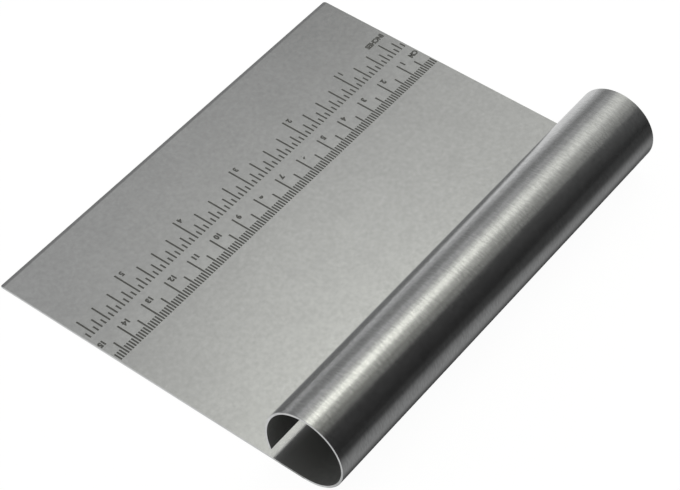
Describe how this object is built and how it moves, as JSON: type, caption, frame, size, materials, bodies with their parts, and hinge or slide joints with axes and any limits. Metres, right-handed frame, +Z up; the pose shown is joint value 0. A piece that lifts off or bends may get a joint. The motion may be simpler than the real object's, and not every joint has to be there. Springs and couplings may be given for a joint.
{
  "type": "bench scraper",
  "caption": "Flat stainless steel bench scraper: a rectangular blade whose back edge is rolled into an open tubular handle.",
  "frame": {"origin": "middle of the bounding box's underside, on the flat underside of the blade", "axes": "+X along the handle, +Y from the handle to the cutting edge, +Z up from the flat underside"},
  "size_m": [0.1484, 0.12, 0.025],
  "materials": {
    "blade_steel": "satin stainless steel sheet",
    "handle_steel": "brushed stainless steel sheet, smoothed by rolling"
  },
  "bodies": {
    "root": {"blade": "blade_steel", "rolled_handle": "handle_steel"}
  },
  "joints": []
}
